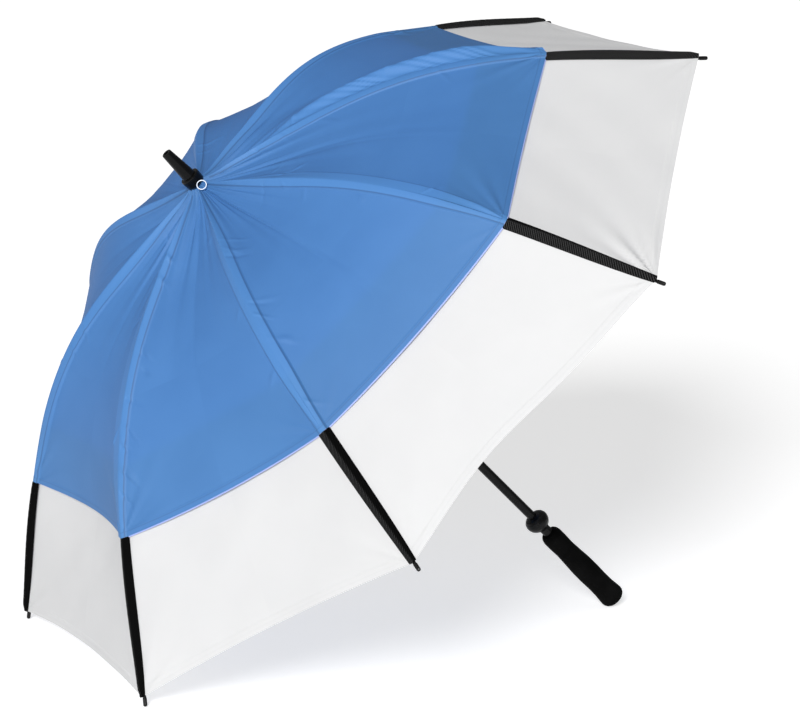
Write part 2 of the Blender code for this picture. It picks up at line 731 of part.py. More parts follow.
# ---------------------------------------------------------------- runner
z0 = crown[1]
runner_profile = [
    (RUNNER_BORE, z0 + RUNNER_CROWN_HALF),
    (RUNNER_CROWN_RADIUS - 0.0010, z0 + RUNNER_CROWN_HALF),
    (RUNNER_CROWN_RADIUS, z0 + RUNNER_CROWN_HALF - 0.0010),
    (RUNNER_CROWN_RADIUS, z0 - RUNNER_CROWN_HALF + 0.0010),
    (RUNNER_CROWN_RADIUS - 0.0010, z0 - RUNNER_CROWN_HALF),
    (RUNNER_SLEEVE_RADIUS, z0 - RUNNER_CROWN_HALF - 0.0005),
    (RUNNER_SLEEVE_RADIUS, runner_foot + 0.0080),
    (RUNNER_FLANGE_RADIUS, runner_foot + 0.0040),
    (RUNNER_FLANGE_RADIUS, runner_foot + 0.0010),
    (RUNNER_FLANGE_RADIUS - 0.0010, runner_foot),
    (RUNNER_BORE, runner_foot),
]
crown_slots = slot_boxes(CROWN_SLOT_FLOOR, 0.025, z0 - 0.0054, z0 + 0.010, SLOT_WIDTH)
window = box(
    (0.0, -WINDOW_WIDTH / 2, window_low),
    (0.020, WINDOW_WIDTH / 2, window_high),
    turn=CATCH_AZIMUTH,
)
runner_mesh = combined(
    "runner", turned("runner_blank", runner_profile, 32), crown_slots + [("DIFFERENCE", window)]
)
add("runner", runner_mesh, NYLON)

# ---------------------------------------------------------------- tip cup and handle
cup_foot = CUP_TOP - CUP_LENGTH
cup_profile = [
    (SHAFT_RADIUS + FIT_GAP, CUP_TOP),
    (0.0098, CUP_TOP - 0.0004),
    (0.0140, CUP_TOP - 0.0022),
    (0.0172, CUP_TOP - 0.0056),
    (CUP_RADIUS, CUP_TOP - 0.0100),
    (CUP_RADIUS, CUP_TOP - 0.0135),
    (0.0176, CUP_TOP - 0.0180),
    (0.0150, CUP_TOP - 0.0222),
    (0.0112, CUP_TOP - 0.0258),
    (0.0090, cup_foot),
    (SHAFT_RADIUS + FIT_GAP, cup_foot),
]
add("tip_cup", turned("tip_cup", cup_profile, 36), BLACK_PLASTIC)

core_top = cup_foot - FIT_GAP
core_foot = SHAFT_BOTTOM - 0.006
core_profile = [
    (SHAFT_RADIUS + FIT_GAP, core_top),
    (NECK_RADIUS, core_top),
    (NECK_RADIUS, GRIP_TOP - 0.0040),
    (NECK_RADIUS + 0.0016, GRIP_TOP - 0.0080),
    (NECK_RADIUS + 0.0016, core_foot),
    (0.0, core_foot),
    (0.0, SHAFT_BOTTOM - FIT_GAP),
    (SHAFT_RADIUS + FIT_GAP, SHAFT_BOTTOM - FIT_GAP),
]
add("handle_core", turned("handle_core", core_profile, 28), BLACK_PLASTIC)

grip_bore = NECK_RADIUS + 0.0016 + FIT_GAP
grip_length = GRIP_TOP - GRIP_END
grip_waist = [(0.055, 0.0162), (0.14, 0.0163), (0.24, 0.0156), (0.36, 0.0166), (0.48, 0.0178)]
grip_waist += [(0.60, 0.0180), (0.72, 0.0174), (0.82, 0.0176), (0.90, 0.0188)]
grip_profile = [
    (NECK_RADIUS + FIT_GAP, GRIP_TOP - 0.0010),
    (0.0105, GRIP_TOP),
    (0.0130, GRIP_TOP - 0.0010),
    (0.0150, GRIP_TOP - 0.0040),
]
grip_profile += [(radius, GRIP_TOP - share * grip_length) for share, radius in grip_waist]
for step in range(6):
    a = math.radians(18 * step)
    grip_profile.append(
        (
            GRIP_END_RADIUS - GRIP_END_ROUND * (1 - math.cos(a)),
            GRIP_END + GRIP_END_ROUND * (1 - math.sin(a)),
        )
    )
grip_profile += [
    (0.0, GRIP_END),
    (0.0, core_foot - FIT_GAP),
    (grip_bore, core_foot - FIT_GAP),
    (grip_bore, GRIP_TOP - 0.0080 + FIT_GAP),
    (NECK_RADIUS + FIT_GAP, GRIP_TOP - 0.0040 + FIT_GAP),
]
add("grip", turned("grip", grip_profile, 36), GRIP_RUBBER)

# ---------------------------------------------------------------- tilt the assembly on to the floor
tip_centre = ahead(tip_end, rib_line(TIP_RADIUS - 0.010), TIP_PEG_RADIUS)
reach = tip_centre[0] * math.cos(RIB_STEP / 2) - (GRIP_END_RADIUS - GRIP_END_ROUND)
rise = tip_centre[1] - (GRIP_END + GRIP_END_ROUND)
elevation = math.atan2(reach, rise)
elevation -= math.asin((GRIP_END_ROUND - TIP_PEG_RADIUS) / math.hypot(reach, rise))
frame.rotation_euler = (0, math.pi / 2 - elevation, math.pi)
bpy.context.view_layer.update()
graph = bpy.context.evaluated_depsgraph_get()
corners = []
for obj in umbrella.objects:
    if obj.type == "MESH":
        corners += [obj.matrix_world @ v.co for v in obj.evaluated_get(graph).data.vertices]
low = [min(c[i] for c in corners) for i in range(3)]
high = [max(c[i] for c in corners) for i in range(3)]
frame.location = (-(low[0] + high[0]) / 2, -(low[1] + high[1]) / 2, -low[2])
bpy.context.view_layer.update()
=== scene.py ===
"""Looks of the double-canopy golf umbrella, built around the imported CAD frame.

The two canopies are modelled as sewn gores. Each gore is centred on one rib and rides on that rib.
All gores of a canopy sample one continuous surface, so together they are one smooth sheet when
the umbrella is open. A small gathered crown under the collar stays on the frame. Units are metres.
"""

import json
import math

import bpy
import numpy as np
from mathutils import Matrix, Vector

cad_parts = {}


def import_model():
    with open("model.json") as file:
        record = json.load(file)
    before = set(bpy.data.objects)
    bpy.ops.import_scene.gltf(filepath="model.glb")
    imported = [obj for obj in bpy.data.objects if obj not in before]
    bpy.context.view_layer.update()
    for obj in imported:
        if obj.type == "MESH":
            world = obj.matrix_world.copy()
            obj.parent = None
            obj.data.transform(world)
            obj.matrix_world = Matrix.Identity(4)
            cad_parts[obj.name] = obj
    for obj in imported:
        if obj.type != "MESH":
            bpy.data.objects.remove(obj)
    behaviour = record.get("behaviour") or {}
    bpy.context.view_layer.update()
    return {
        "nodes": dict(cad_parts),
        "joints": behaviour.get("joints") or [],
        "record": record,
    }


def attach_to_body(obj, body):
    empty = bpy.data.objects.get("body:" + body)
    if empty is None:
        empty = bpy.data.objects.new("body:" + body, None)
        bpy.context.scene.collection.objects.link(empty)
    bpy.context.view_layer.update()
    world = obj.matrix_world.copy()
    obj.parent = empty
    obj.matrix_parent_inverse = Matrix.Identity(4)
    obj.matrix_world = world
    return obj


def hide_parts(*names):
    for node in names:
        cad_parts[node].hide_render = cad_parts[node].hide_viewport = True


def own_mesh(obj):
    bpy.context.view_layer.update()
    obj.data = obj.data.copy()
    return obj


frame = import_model()
joints = {j["name"]: j for j in frame["joints"]}
mounts = {m["name"]: m for m in frame["record"]["mounts"]}

# ---------------------------------------------------------------- sizes shared with the CAD model
RIBS = 8
RIB_STEP = 2 * math.pi / RIBS
HALF_CHORD = math.sin(RIB_STEP / 2)
TIP_RADIUS = 0.668
DROP_TERMS = (0.1205, 0.2670, -0.7894, 2.0766, -1.1480)
GRIP_END = -0.9670
APEX_EDGE = 0.0086
CROWN_EDGE = 0.0200
RIB_JOINT_RADIUS = 0.3350
VENT_RADIUS = 0.4965
LOWER_START = 0.4200
HEM_RADIUS = 0.6582
LOWER_DEPTH = 0.0036
APEX_RISE = 0.0060
APEX_RISE_WIDTH = 0.020
NOWHERE = 0.05  # a distance that stands for "far from any seam, strip or hem"

# ---------------------------------------------------------------- the umbrella's own frame
UP = -Vector(joints["runner_slide"]["axis"]).normalized()
SIDE = Vector((0.0, -1.0, 0.0))
OUT = SIDE.cross(UP)
CENTRE = Vector(mounts["grip_end"]["pos_m"]) - UP * GRIP_END
TO_WORLD = np.array(Matrix((OUT, SIDE, UP)).transposed())


def world(points):
    """Points given along the umbrella's own axes (out, side, up) in the row frame."""
    return np.asarray(points) @ TO_WORLD.T + np.array(CENTRE)


def rib_angle(k):
    return (k - RIBS / 2 + 0.5) * RIB_STEP


def smooth_step(x):
    x = np.clip(x, 0.0, 1.0)
    return x * x * (3 - 2 * x)


# ---------------------------------------------------------------- canopy surface
def drop(radius):
    share = radius / TIP_RADIUS
    return TIP_RADIUS * sum(c * share ** (i + 1) for i, c in enumerate(DROP_TERMS))


def slope(radius):
    share = radius / TIP_RADIUS
    return np.arctan(sum((i + 1) * c * share**i for i, c in enumerate(DROP_TERMS)))


def wobble(x, seed, scale):
    """A smooth, repeatable wave of mixed lengths, from about -1 to 1."""
    rng = np.random.RandomState(seed)
    total = np.zeros_like(x)
    for _ in range(4):
        total += np.sin(2 * math.pi * x / scale * rng.uniform(0.5, 1.7) + rng.uniform(0, 6.28))
    return total / 2.6


# Panel p lies between rib p and rib p + 1. Panel 3 is the one that faces the floor.
UPPER_BULGE = np.array([0.0035, 0.0035, 0.0035, 0.0, 0.0055, 0.0045, -0.003, 0.001])
LOWER_SCOOP = np.array([0.008, 0.008, 0.008, 0.010, 0.0075, 0.012, 0.004, 0.005])
PANEL_SAG = np.array([1.0, 1.0, 1.0, 1.05, 1.0, 0.95, 0.50, 1.05])
UPPER_SAG = 0.016
UPPER_SAG_RADIUS = 0.16
HEM_SAG = np.array([0.002, 0.002, 0.002, 0.018, 0.0, 0.0, 0.004, 0.0])
LOWER_SAG = 0.004
BAND_HALF = 0.0105
BAND_WIDER = np.ones((RIBS, 2))  # how much wider the strip is before and after each rib
BAND_WIDER[3] = (1.0, 1.6)
BAND_WIDER[4] = (2.3, 1.0)
BAND_WIDER[6] = (1.0, 1.6)
BAND_WIDER[7] = (1.1, 2.4)
CREASE_REACH = 0.036
TIP_CREASES = np.array([[0.4, 0.4]] * RIBS)  # strength at each panel's first and second tip, in mm
TIP_CREASES[6] = (2.2, 0.5)
TIP_CREASES[5] = (0.3, 0.4)
HEM_CREASES = np.array([[0.5, 0.5]] * RIBS)  # the same for the upper canopy's hem corners
HEM_CREASES[5] = (0.2, 0.1)
HEM_CREASES[6] = (0.9, 0.6)
RIB_LIFT = np.array([0.016, 0.016, 0.018, 0.007, 0.0, 0.0, 0.0, 0.0])  # cloth standing off a rib
RIB_LIFT_RADIUS = 0.27
RIB_LIFT_WIDTH = 0.15
SHADED_SEAM_SIDE = np.array([-1, -1, 1, 1, 1, 1, -1, -1])  # the edge of a rib's strip whose seam line is darkened as painted shade
LONG_CREASE = np.array([0.4, 0.4, 0.4, 0.3, 0.3, 1.8, 0.5, 0.4]) * 0.0014
# how many short creases lie before and after each rib
PUCKERS = np.array([[3, 3], [2, 2], [2, 2], [3, 3], [6, 12], [4, 10], [4, 4], [5, 4]])
PUCKER_HEIGHT = np.full((RIBS, 2), 0.0014)
PUCKER_HEIGHT[4] = (0.0022, 0.0020)
PUCKER_HEIGHT[5] = (0.0014, 0.0012)
PUFF = 0.017  # the slack cloth of the top panel stands up beside its first rib
PUFF_PANEL = 7
# the waves of the cloth gathered at the collar: count, strength and phase
GATHERS = ((24, 0.55, 0.4), (40, 0.5, 1.9), (64, 0.35, 0.8))
SHORT_FOLDS, ALL_FOLDS = 7, 11
NORMAL_STEP = 0.0004


def band_half(radius, rib, side):
    """Width of the strip that a rib raises in the cloth, on one side of it (0 before, 1 after)."""
    grows = smooth_step((radius - 0.006) / 0.20) ** 0.8
    ends = 1 - 0.45 * smooth_step((radius - 0.40) / (VENT_RADIUS - 0.40))
    return BAND_HALF * grows * ends * BAND_WIDER[rib, side]


def ridge(distance, radius, lean, half):
    """How far the strip over the rib stands off the pair of panels that meet there."""
    flat = HALF_CHORD * np.sin(lean) * distance * 0.92
    edge = 1 - smooth_step((distance - half) / (0.0034 + 0.25 * np.maximum(half - BAND_HALF, 0.0)))
    crown = 0.0012 * (1 - np.minimum(distance / half, 1.0) ** 2)
    return flat * edge + (0.0010 * edge + crown) * np.minimum(radius / 0.06, 1.0)


def puckers(distance, radius, rib, side):
    """Short slanted creases in the cloth beside and across a rib's strip."""
    rng = np.random.RandomState(200 + 2 * rib + side)
    made = np.zeros_like(radius)
    for _ in range(PUCKERS[rib, side]):
        place = rng.uniform(0.09, 0.46)
        slant = rng.uniform(0.5, 1.0)
        width = rng.uniform(0.0020, 0.0036)
        length = rng.uniform(0.010, 0.024)
        height = rng.uniform(0.5, 1.0) * PUCKER_HEIGHT[rib, side] * (1 if rng.rand() < 0.6 else -1)
        out = distance - band_half(place, rib, side) - rng.uniform(-0.004, 0.016)
        up = radius - place
        along = out * math.cos(slant) + up * math.sin(slant)
        across = up * math.cos(slant) - out * math.sin(slant)
        across = across + 2.0 * along * np.abs(along)
        made += height * np.exp(-((across / width) ** 2) - (along / length) ** 2)
    return made * smooth_step(distance / 0.004)


def corner_creases(reach_out, along, seed, strength, lobes):
    """Creases that fan out from a sewn corner: reach_out runs inwards, along runs by the hem."""
    distance = np.hypot(reach_out, along) + 1e-6
    angle = np.arctan2(reach_out, along)
    fan = np.sin(lobes * angle + seed) + 0.6 * np.sin(1.7 * lobes * angle + 2.1 * seed)
    share = distance / CREASE_REACH
    fade = share**1.3 * np.exp(1.3 * (1 - share)) * smooth_step(reach_out / 0.012)
    return strength * fan * fade


def panel_of(theta):
    panel = np.floor(theta)
    return panel.astype(int) % RIBS, theta - panel


def surface(theta, radius, layer):
    """Points of a canopy: theta counts ribs round the shaft, radius runs out along the ribs."""
    panel, share = panel_of(theta)
    first = (np.floor(theta) - RIBS / 2 + 0.5) * RIB_STEP
    second = first + RIB_STEP
    middle = 4 * share * (1 - share)
    if layer == "upper":
        along = radius / VENT_RADIUS
        moved = radius + UPPER_BULGE[panel] * middle * along**4
        depth = 0.0
    else:
        along = (radius - LOWER_START) / (HEM_RADIUS - LOWER_START)
        third = 1 + 0.5 * np.where(panel == 5, np.sin(2 * math.pi * share), 0.0)
        moved = radius - LOWER_SCOOP[panel] * middle * third * np.maximum(along, 0) ** 2
        depth = LOWER_DEPTH
    lean = slope(moved)
    flat = moved - depth * np.sin(lean)
    rise = APEX_RISE * np.exp(-((radius / APEX_RISE_WIDTH) ** 2))
    height = rise - drop(moved) - depth * np.cos(lean)
    x = flat * ((1 - share) * np.cos(first) + share * np.cos(second))
    y = flat * ((1 - share) * np.sin(first) + share * np.sin(second))
    facing = first + share * RIB_STEP
    tilt = np.sin(lean)
    normal = np.stack([tilt * np.cos(facing), tilt * np.sin(facing), np.cos(lean)], -1)
    lift = relief(layer, panel, share, radius, lean, middle, along)
    return np.stack([x, y, height], -1) + normal * lift[..., None]


def hollow(panel, radius, middle):
    """How far the upper canopy hangs in between two ribs."""
    share = radius / UPPER_SAG_RADIUS
    at_hem = np.minimum(radius / VENT_RADIUS, 1.0) ** 5
    sag = UPPER_SAG * PANEL_SAG[panel] * share * np.exp(1 - share)
    return middle * (sag + HEM_SAG[panel] * at_hem)


def off_rib(panel, share, radius):
    """The far side of the canopy stands a little off its ribs, as if the air lifted it."""
    second = RIB_LIFT[(panel + 1) % RIBS]
    blend = RIB_LIFT[panel] + (second - RIB_LIFT[panel]) * smooth_step(share)
    fade = np.exp(-(((radius - RIB_LIFT_RADIUS) / RIB_LIFT_WIDTH) ** 2))
    return blend * fade * (1 - smooth_step((radius - 0.40) / (VENT_RADIUS - 0.40)))


def radial_folds(p, share, radius, along):
    """Folds of one panel that start at the collar: short sharp ones and a few long soft ones."""
    rng = np.random.RandomState(40 + p)
    made = np.zeros_like(radius)
    for k in range(ALL_FOLDS):
        short = k < SHORT_FOLDS
        place = rng.uniform(0.05, 0.95) if short else rng.uniform(0.14, 0.86)
        bend = rng.uniform(-0.05, 0.05) if short else rng.uniform(-0.10, 0.10)
        width = rng.uniform(0.012, 0.030) if short else rng.uniform(0.035, 0.080)
        reach = rng.uniform(0.04, 0.15) if short else rng.uniform(0.12, 0.30)
        if short:
            height = rng.uniform(0.0013, 0.0027) * rng.choice([-1, 1])
        else:
            height = rng.uniform(-0.0030, 0.0022)
        across = np.abs(share - place - bend * along) / width
        fold = height * np.exp(-(across**1.5)) * smooth_step(radius / 0.04)
        made += fold * np.exp(-((radius / reach) ** 2))
    across = np.abs(share - 0.44 - 0.03 * (p % 3) - 0.04 * along) / 0.016
    crease = LONG_CREASE[p] * np.exp(-(across**1.5)) * smooth_step(radius / 0.05)
    made -= crease * np.exp(-((radius / 0.33) ** 4))
    return made


def puffed(distance, radius):
    """Slack cloth that stands up along a rib and lies down again towards the panel's middle."""
    along = smooth_step((radius - 0.03) / 0.20) * (1 - 0.5 * smooth_step((radius - 0.40) / 0.09))
    phase = (0.85 * distance + 0.50 * radius) / 0.0115 + 0.5 * wobble(radius + distance, 17, 0.10)
    uneven = 0.65 + 0.35 * wobble(radius, 18, 0.12)
    strength = 0.0008 * smooth_step((radius - 0.12) / 0.15) * uneven
    waves = strength * np.sin(2 * math.pi * phase) * smooth_step(distance / 0.005)
    stands = smooth_step(distance / 0.026) * (1 - smooth_step((distance - 0.028) / 0.075))
    return PUFF * along * stands + waves * (1 - smooth_step((distance - 0.020) / 0.016))


def relief(layer, panel, share, radius, lean, middle, along):
    """Height of the cloth over the plain pyramid of chords between the ribs."""
    chord = 2 * radius * HALF_CHORD
    near, far = share * chord, (1 - share) * chord
    lift = np.zeros_like(radius)
    if layer == "lower":
        above = 1 - smooth_step((radius - VENT_RADIUS) / (HEM_RADIUS - VENT_RADIUS))
        lift -= (hollow(panel, radius, middle) + 0.0030 * middle) * above
        lift -= LOWER_SAG * middle * along
        into = np.maximum(HEM_RADIUS - radius, 0.0) / np.cos(lean)
        for p in range(RIBS):
            here = panel == p
            for tip, beside in enumerate((near, far)):
                made = corner_creases(into, beside, p + 3.0 * tip, 0.001 * TIP_CREASES[p, tip], 9)
                lift += np.where(here, made, 0.0)
        lift += 0.0005 * middle * wobble(share * 0.3 + radius, 71, 0.13)
        lift += 0.0004 * smooth_step((radius - HEM_RADIUS + 0.011) / 0.0012)
        return lift
    lift -= hollow(panel, radius, middle)
    lift += off_rib(panel, share, radius)
    lift += np.where(panel == PUFF_PANEL, puffed(near, radius), 0.0)
    gathered = 0.056 * radius * np.exp(-radius / 0.060)
    turn = (panel + share) / RIBS
    for count, part, lag in GATHERS:
        sway = 0.5 * wobble(radius, count, 0.4)
        lift += gathered * part * np.sin(2 * math.pi * count * turn + lag + sway)
    for p in range(RIBS):
        here = panel == p
        made = radial_folds(p, share, radius, along)
        into = np.maximum(VENT_RADIUS - radius, 0.0) / np.cos(lean)
        for tip, beside in enumerate((near, far)):
            strength = 0.001 * HEM_CREASES[p, tip]
            made += corner_creases(into, beside, 1.3 * p + 2.0 * tip, strength, 10)
        low = puckers(near, radius, p, 1)
        high = puckers(far, radius, (p + 1) % RIBS, 0)
        made += np.where(share < 0.5, low, high)
        lift += np.where(here, made, 0.0)
    after, before = band_half(radius, panel, 1), band_half(radius, (panel + 1) % RIBS, 0)
    half = np.where(share < 0.5, after, before)
    lift += ridge(np.minimum(near, far), radius, lean, half)
    lift += 0.0003 * smooth_step((radius - VENT_RADIUS + 0.008) / 0.0012)
    lift += 0.0010 * (1 - smooth_step((radius - 0.010) / 0.012))
    return lift


def surface_normals(theta, radius, layer):
    step = NORMAL_STEP
    by_radius = surface(theta, radius + step, layer) - surface(theta, radius - step, layer)
    wide = step / np.maximum(radius, 0.02)
    by_turn = surface(theta + wide, radius, layer) - surface(theta - wide, radius, layer)
    normal = np.cross(by_radius, by_turn)
    return normal / np.linalg.norm(normal, axis=-1, keepdims=True)


# ---------------------------------------------------------------- building the gores
STRIP_STEPS = 9
STRIP_EDGE = np.array([0.0008, 0.0016, 0.0024, 0.0036])  # columns just past the strip
STITCH_PAST_STRIP = 0.0008
RIM_SUNK = (0.0010, 0.0016)  # how far the turned-under rim's two rows lie below the cloth
PATTERN_SHIFT = 0.37  # keeps the gores' mottling from repeating


def grid_faces(rows, columns):
    index = np.arange(rows * columns).reshape(rows, columns)
    quads = np.stack([index[:-1, :-1], index[1:, :-1], index[1:, 1:], index[:-1, 1:]], -1)
    return quads.reshape(-1, 4)


def new_object(name, points, faces, materials, normals=None):
    mesh = bpy.data.meshes.new(name)
    corners = [tuple(int(i) for i in f) for f in faces]
    mesh.from_pydata([tuple(p) for p in world(points)], [], corners)
    mesh.update()
    mesh.shade_smooth()
    for paint in materials:
        mesh.materials.append(paint)
    if normals is not None:
        mesh.normals_split_custom_set_from_vertices([tuple(n) for n in normals @ TO_WORLD.T])
    obj = bpy.data.objects.new(name, mesh)
    bpy.context.scene.collection.objects.link(obj)
    return obj


def put_attribute(mesh, name, kind, values):
    made = mesh.attributes.new(name, kind, "POINT")
    key = "vector" if kind == "FLOAT_VECTOR" else "value"
    made.data.foreach_set(key, np.asarray(values, np.float32).ravel())


def columns_across(radii, k, fine):
    """Shares from one panel's middle to the next, closer together at the strip's edges."""
    sides = []
    for side in (0, 1):
        half = band_half(radii, k, side)[:, None]
        middle = radii[:, None] * HALF_CHORD
        strip = half * np.linspace(0, 1, STRIP_STEPS)
        edge = half + STRIP_EDGE
        start = edge[:, -1:]
        rest = start + (middle - start) * np.linspace(0, 1, fine)[1:] ** 1.3
        packed = np.concatenate([strip, edge, rest], 1)
        even = middle * np.linspace(0, 1, packed.shape[1]) ** 1.8
        blend = smooth_step((middle - start - 0.004) / 0.020)
        sides.append(0.5 * (even + (packed - even) * blend) / middle)
    return np.concatenate([-sides[0][:, ::-1], sides[1][:, 1:]], 1)


def gore(name, k, layer, radii, fine, materials, hem, binding=0.0):
    """One rib's share of a canopy. hem is its sewn edge's radius, or None at a mere split."""
    share = columns_across(radii, k, fine)
    radius = np.broadcast_to(radii[:, None], share.shape)
    theta = k + share
    points = surface(theta, radius, layer)
    normals = surface_normals(theta, radius, layer)
    chord = 2 * radius * HALF_CHORD
    across = share * chord
    run = np.cumsum(np.r_[0, np.hypot(np.diff(radii), np.diff(drop(np.asarray(radii))))])
    length = np.broadcast_to(run[:, None], radius.shape)
    seam = np.full_like(radius, NOWHERE)
    strip = np.full_like(radius, NOWHERE)
    if layer == "upper":
        # the seam line lies on one edge of the rib's strip, where it is drawn dark as stitching and
        # as painted shade
        sewn = 1 if SHADED_SEAM_SIDE[k] > 0 else 0
        seam = across * SHADED_SEAM_SIDE[k] - band_half(radius, k, sewn) - STITCH_PAST_STRIP
        before, after = band_half(radius, k, 0), band_half(radius, k, 1)
        strip = np.abs(across) - np.where(across > 0, after, before)
    border = np.abs(hem - radius) if hem else np.full_like(radius, NOWHERE)
    blocks = [points.reshape(-1, 3)]
    shading = [normals.reshape(-1, 3)]
    faces = [grid_faces(*radius.shape)]
    marks = [0] * len(faces[0])
    sides = [across.ravel()]
    lengths = [length.ravel()]
    seams = [seam.ravel()]
    strips = [strip.ravel()]
    borders = [border.ravel()]
    if binding:
        # the upper canopy's edge is turned under and a strip of its lining shows below it
        edges = [(0.0, RIM_SUNK[0]), (binding, RIM_SUNK[1])]
        last = points[-1]
        outward = normals[-1]
        tangent = points[-1] - points[-2]
        tangent /= np.linalg.norm(tangent, axis=-1, keepdims=True)
        count = share.shape[1]
        start = len(blocks[0]) - count
        total = len(blocks[0])
        for extra, sunk in edges:
            blocks.append(last + tangent * extra - outward * sunk)
            shading.append(outward)
            low, high = np.arange(count - 1), np.arange(1, count)
            rim = np.stack([start + low, total + low, total + high, start + high], -1)
            faces.append(rim)
            marks += [1] * len(rim)
            sides.append(across[-1])
            lengths.append(length[-1] + extra)
            for mark in (seams, strips, borders):
                mark.append(np.full(count, NOWHERE))
            start = total
            total += count
    obj = new_object(
        name, np.concatenate(blocks), np.concatenate(faces), materials, np.concatenate(shading)
    )
    mesh = obj.data
    mesh.polygons.foreach_set("material_index", marks)
    shift = np.full(len(mesh.vertices), PATTERN_SHIFT * k)
    cloth = np.stack([np.concatenate(sides), np.concatenate(lengths), shift], -1)
    put_attribute(mesh, "cloth", "FLOAT_VECTOR", cloth)
    put_attribute(mesh, "seam", "FLOAT", np.concatenate(seams))
    put_attribute(mesh, "strip", "FLOAT", np.concatenate(strips))
    put_attribute(mesh, "border", "FLOAT", np.concatenate(borders))
    return obj


def crown(name, radii, fine, paint):
    """The gathered cloth under the collar: a small ring that stays on the frame."""
    turns = [k + columns_across(radii, k, fine)[:, :-1] for k in range(RIBS)]
    turns.append(turns[0][:, :1] + RIBS)
    theta = np.concatenate(turns, 1)
    radius = np.broadcast_to(radii[:, None], theta.shape)
    points = surface(theta, radius, "upper").reshape(-1, 3)
    normals = surface_normals(theta, radius, "upper").reshape(-1, 3)
    obj = new_object(name, points, grid_faces(*theta.shape), [paint], normals)
    put_attribute(obj.data, "cloth", "FLOAT_VECTOR", points)
    for mark in ("seam", "strip", "border"):
        put_attribute(obj.data, mark, "FLOAT", np.full(len(points), NOWHERE))
    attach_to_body(obj, "umbrella_frame")
    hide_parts("canopy_upper")


def flat_cut(obj):
    """(width, length, area) of a gore's pattern: the rib spacing, laid out flat along the rib."""
    cloth = np.empty(len(obj.data.vertices) * 3, np.float32)
    obj.data.attributes["cloth"].data.foreach_get("vector", cloth)
    flat = cloth.reshape(-1, 3)[:, :2].astype(float)
    corners = flat[np.array([face.vertices[:] for face in obj.data.polygons])]
    x, y = corners[..., 0], corners[..., 1]
    doubled = (x * np.roll(y, -1, 1) - y * np.roll(x, -1, 1)).sum(1)
    return float(np.ptp(flat[:, 0])), float(np.ptp(flat[:, 1])), float(np.abs(doubled).sum() / 2)


def attach(obj, body, node):
    """The gore rides on its rib."""
    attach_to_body(obj, body)
    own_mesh(obj)
    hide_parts(node)
    width, length, area = flat_cut(obj)


# ---------------------------------------------------------------- materials
def fresh(name):
    paint = bpy.data.materials.new(name)
    paint.use_nodes = True
    tree = paint.node_tree
    return paint, tree, tree.nodes["Principled BSDF"]


def node(tree, kind, links=None, **settings):
    """A new node; settings set its properties, links feed or set its inputs by name or number."""
    made = tree.nodes.new("ShaderNode" + kind)
    for key, value in settings.items():
        setattr(made, key, value)
    for key, value in (links or {}).items():
        if isinstance(value, bpy.types.NodeSocket):
            tree.links.new(value, made.inputs[key])
        else:
            made.inputs[key].default_value = value
    return made


def math_node(tree, operation, *values):
    return node(tree, "Math", dict(enumerate(values)), operation=operation).outputs[0]


def ramp(tree, value, low, high, to_low=0.0, to_high=1.0):
    links = {"Value": value, "From Min": low, "From Max": high, "To Min": to_low, "To Max": to_high}
    return node(tree, "MapRange", links).outputs[0]


def mixed(tree, factor, first, second):
    made = node(tree, "Mix", data_type="RGBA")
    for number, value in ((0, factor), (6, first), (7, second)):
        socket = made.inputs[number]
        if isinstance(value, bpy.types.NodeSocket):
            tree.links.new(value, socket)
        else:
            socket.default_value = value
    return made.outputs[2]


def colour(r, g, b):
    return (r, g, b, 1.0)


def grey(value):
    return (value, value, value)


def scaled(tone, share):
    return colour(*(share * c for c in tone))


def absolute(tree, value):
    return math_node(tree, "ABSOLUTE", value)


def times(tree, first, second):
    return math_node(tree, "MULTIPLY", first, second)


def attribute(tree, name):
    return node(tree, "Attribute", attribute_name=name)


def feed(tree, shader, name, value):
    tree.links.new(value, shader.inputs[name])


def bumped(tree, shader, height, strength, distance):
    bump = node(tree, "Bump", {"Height": height, "Strength": strength, "Distance": distance})
    tree.links.new(bump.outputs[0], shader.inputs["Normal"])


STITCH_FROM_HEM = 0.0055


